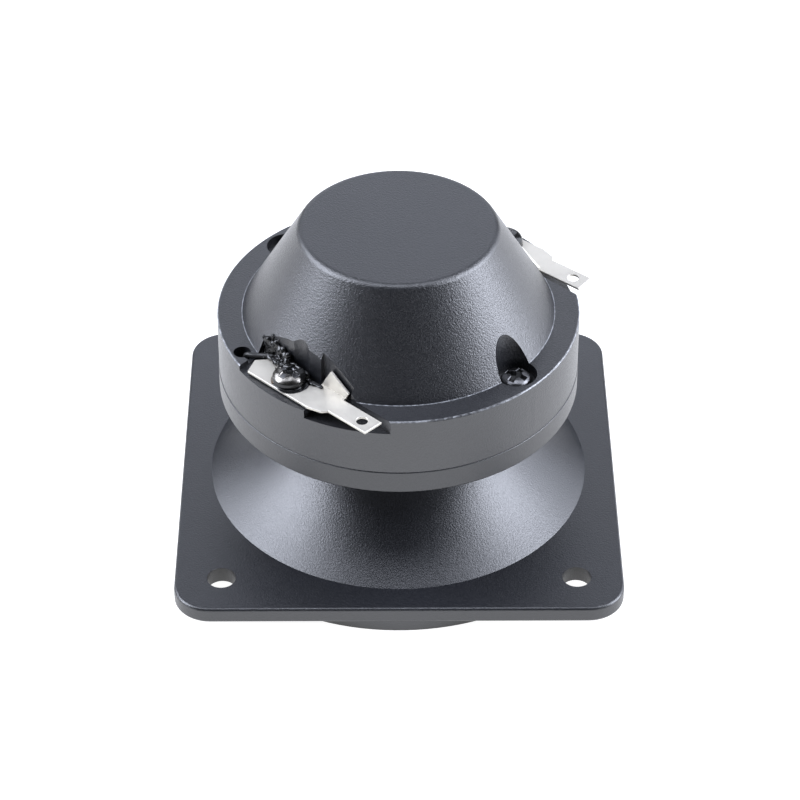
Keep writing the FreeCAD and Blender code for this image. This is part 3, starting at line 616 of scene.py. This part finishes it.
# The drop's edge, as (how far in from its radius, height), down to the pool.
DROP_EDGE = [(-0.02, 0.5), (0.03, 0.22), (0.15, POOL_FILM)]


def add_ball(built, place, halves):
    matrix = Matrix.Translation(place) @ Matrix.Diagonal((*halves, 1))
    bmesh.ops.create_icosphere(built, subdivisions=3, radius=1.0, matrix=matrix)


def add_string(built, start, end, sag, radius):
    """A thin drawn string as overlapping beads, thinner at its middle."""
    start, end = Vector(start), Vector(end)
    count = max(4, int((end - start).length / BEAD_SPACING))
    for i in range(count + 1):
        t = i / count
        place = start.lerp(end, t) - Vector((0, 0, sag * sin(pi * t)))
        thick = radius * (1 - STRING_WAIST * sin(pi * t))
        matrix = Matrix.Translation(place) @ Matrix.Diagonal((thick, thick, thick, 1))
        bmesh.ops.create_icosphere(built, subdivisions=2, radius=1.0, matrix=matrix)


def fuse(built, name):
    """Fuse overlapping lumps into one skin with a voxel remesh, and return it as a bmesh."""
    mesh = bpy.data.meshes.new(name)
    built.to_mesh(mesh)
    built.free()
    holder = bpy.data.objects.new(name, mesh)
    bpy.context.scene.collection.objects.link(holder)
    remesh = holder.modifiers.new("fuse", "REMESH")
    remesh.mode = "VOXEL"
    remesh.voxel_size = VOXEL
    soften = holder.modifiers.new("soften", "SMOOTH")
    soften.iterations = SOFTENING
    fused = holder.evaluated_get(bpy.context.evaluated_depsgraph_get()).to_mesh()
    result = bmesh.new()
    result.from_mesh(fused)
    bpy.data.objects.remove(holder)
    return result


def ripple(built, scale, depth):
    """Move every point along its normal by smooth noise."""
    built.normal_update()
    moves = [v.normal * noise.noise(v.co * scale) * depth for v in built.verts]
    for vert, move in zip(built.verts, moves):
        vert.co += move


def make_lacquer(built, head_radius, side):
    """A drop of lacquer over the screw head, with a black pool along the plate that is partly sealant
    and partly a painted shadow and reflection.
    """
    first, first_face = len(built.verts), len(built.faces)
    thickness, lean, smear_and_shade_reach, skin = LACQUER[side]
    radius = head_radius + thickness
    height = HEAD_HEIGHT + min(thickness, DROP_THICKEST) * DROP_RISE

    def top(x, y):
        r = hypot(x, y)
        swell = DROP_SWELL * noise.noise(Vector((x, y, 2.3)) * 0.8)
        cut = cross_cut(x, y, DROP_CROSS_DEPTH, DROP_CROSS_BLUR)
        return head_top(r, radius, DROP_RIM, height + swell) - cut

    rings = [(r, top) for r in top_radii(radius, DROP_STEPS)] + edge_rings(radius, DROP_EDGE)
    for i in range(1, POOL_RINGS + 1):
        rings.append((radius + i / POOL_RINGS, POOL_FILM * (1 - i / (POOL_RINGS + 1))))
    rings.append((head_radius - 1, POOL_UNDER))
    spin_rings(built, rings)
    built.faces.ensure_lookup_table()
    for face in built.faces[first_face:]:
        at = face.calc_center_median()
        shore = BLACK_SHORE + SHORE_WANDER * noise.noise(Vector((at.x, 0.0, 5.1)) * 0.9)
        if at.xy.length < radius - 0.1 and at.y > shore:
            face.material_index = skin
    # The black pool's reach along the tails is partly sealant and partly a painted shadow and
    # reflection of the head on the plate.
    built.verts.ensure_lookup_table()
    for vert in built.verts[first:]:
        flat = vert.co.xy
        out = flat.length - radius - 0.03
        if out > 0:
            angle = atan2(flat.y, flat.x)
            wave = POOL_WAVE * noise.noise(Vector((cos(angle), sin(angle), 0.7)) * 1.6)
            spread_out = max(POOL_LEAST, smear_and_shade_reach * (max(0.0, cos(angle)) ** 0.6 + wave))
            vert.co.xy = flat.normalized() * (radius + out * spread_out)
            vert.co.y = max(vert.co.y, PLATE_HEEL)
        vert.co.x += lean


def make_sealant(side):
    """Sealant in the corner by the wall, strings, and the lacquered screw head, as one piece."""
    node = f"sealant_{side}"
    screw = f"terminal_screw_{side}"
    built = bmesh.new()
    for along, out, up, *halves in LUMPS:
        add_ball(built, Vector((along, out, up)), halves)
    for start, end, sag, radius in STRINGS:
        add_string(built, start, end, sag, radius)
    fused = fuse(built, f"{node}_fusing")
    for bumps, depth in RIPPLES:
        ripple(fused, bumps, depth)
    make_lacquer(fused, size(screw).x / 2, side)
    axes = radial_frame(screw)
    axes.translation.z = top_of(screw) - HEAD_HEIGHT
    fused.transform(axes)
    add_piece(fused, node, "black_sealant", MATERIALS["black_sealant"], LACQUERED_HEAD)


for side in ("left", "right"):
    make_lead(side)
    make_sealant(side)


# ---------------------------------------------------------------- stage, lights and camera


FLOOR_HALF = 3.0
FLOOR_GAP = 0.2
FLOOR_GREY = 0.35
FLOOR_GLOW = 0.98


def make_floor():
    """A wide pale floor that shines evenly, as a light table does."""
    half, level = FLOOR_HALF, CAD_BOX[0][2] - FLOOR_GAP * MM
    corners = [(-half, -half, level), (half, -half, level), (half, half, level), (-half, half, level)]
    mesh = bpy.data.meshes.new("floor")
    mesh.from_pydata(corners, [], [(0, 1, 2, 3)])
    floor = bpy.data.objects.new("floor", mesh)
    bpy.context.scene.collection.objects.link(floor)
    material, nodes, links, shader = new_material("light_table")
    shader.inputs["Base Color"].default_value = (*grey(FLOOR_GREY), 1)
    shader.inputs["Roughness"].default_value = 0.9
    shader.inputs["Specular IOR Level"].default_value = 0.1
    shader.inputs["Emission Color"].default_value = (1, 1, 1, 1)
    shader.inputs["Emission Strength"].default_value = FLOOR_GLOW
    mesh.materials.append(material)


# Soft boxes as (name, azimuth, lowest and highest elevation, width, all in degrees, and radiance).
SOFT_BOXES = [
    ("right_box", -3, 2, 50, 36, 10.0),
    ("right_rear_box", 30, 2, 50, 30, 2.8),
    ("left_box", 183, 12, 50, 36, 9.6),
    ("left_rear_box", 150, 20, 50, 30, 4.8),
    ("back_box", 90, 12, 44, 50, 1.5),
    ("right_high_box", 0, 50, 75, 50, 3.0),
    ("left_high_box", 180, 50, 75, 50, 4.0),
    ("top_box", 90, 76, 104, 30, 5.5),
]
COOL_WHITE = (0.95, 1.0, 1.14)
BOX_DISTANCE = 1.0
LEAST_NARROWING = 0.5
AIM = Vector((0, 0, 0.03))
FILL_COLOUR = (0.95, 0.97, 1.0)
FILL_STRENGTH = 0.03


def soft_box(name, azimuth, lowest, highest, width, radiance):
    """A rectangular soft light that faces the object from a direction, over a span of angles."""
    turn, lift = radians(azimuth), radians((lowest + highest) / 2)
    towards = Vector((cos(lift) * cos(turn), cos(lift) * sin(turn), sin(lift)))
    lamp = bpy.data.lights.new(name, "AREA")
    lamp.shape = "RECTANGLE"
    lamp.color = COOL_WHITE
    lamp.size = 2 * BOX_DISTANCE * tan(radians(width / 2)) * max(cos(lift), LEAST_NARROWING)
    lamp.size_y = 2 * BOX_DISTANCE * tan(radians((highest - lowest) / 2))
    lamp.energy = radiance * pi * lamp.size * lamp.size_y
    made = bpy.data.objects.new(name, lamp)
    made.location = AIM + towards * BOX_DISTANCE
    made.rotation_euler = (-towards).to_track_quat("-Z", "Y").to_euler()
    bpy.context.scene.collection.objects.link(made)


def make_lights():
    """The soft boxes, and a faint even fill from the world."""
    for box in SOFT_BOXES:
        soft_box(*box)
    world = bpy.data.worlds.new("studio")
    world.use_nodes = True
    background = world.node_tree.nodes["Background"]
    background.inputs["Color"].default_value = (*FILL_COLOUR, 1)
    background.inputs["Strength"].default_value = FILL_STRENGTH
    bpy.context.scene.world = world


CAMERA_PLACE = Vector((-0.00245, -0.45613, 0.38879))
CAMERA_TURNS = (0.00607, 0.6779, 0.00132)
FOCAL_LENGTH = 135.5


def make_camera():
    """A long lens above the front edge, looking down at the object."""
    yaw, pitch, roll = CAMERA_TURNS
    forward = Vector((sin(yaw) * cos(pitch), cos(yaw) * cos(pitch), -sin(pitch)))
    level = Vector((cos(yaw), -sin(yaw), 0))
    upright = level.cross(forward)
    right = level * cos(roll) + upright * sin(roll)
    up = upright * cos(roll) - level * sin(roll)
    lens = bpy.data.cameras.new("camera")
    lens.sensor_width = 36
    lens.lens = FOCAL_LENGTH
    lens.clip_start = 0.01
    camera = bpy.data.objects.new("camera", lens)
    camera.matrix_world = Matrix((
        (right.x, up.x, -forward.x, CAMERA_PLACE.x),
        (right.y, up.y, -forward.y, CAMERA_PLACE.y),
        (right.z, up.z, -forward.z, CAMERA_PLACE.z),
        (0, 0, 0, 1),
    ))
    bpy.context.scene.collection.objects.link(camera)
    bpy.context.scene.camera = camera


make_floor()
make_lights()
make_camera()
bpy.context.scene.view_settings.view_transform = "Standard"
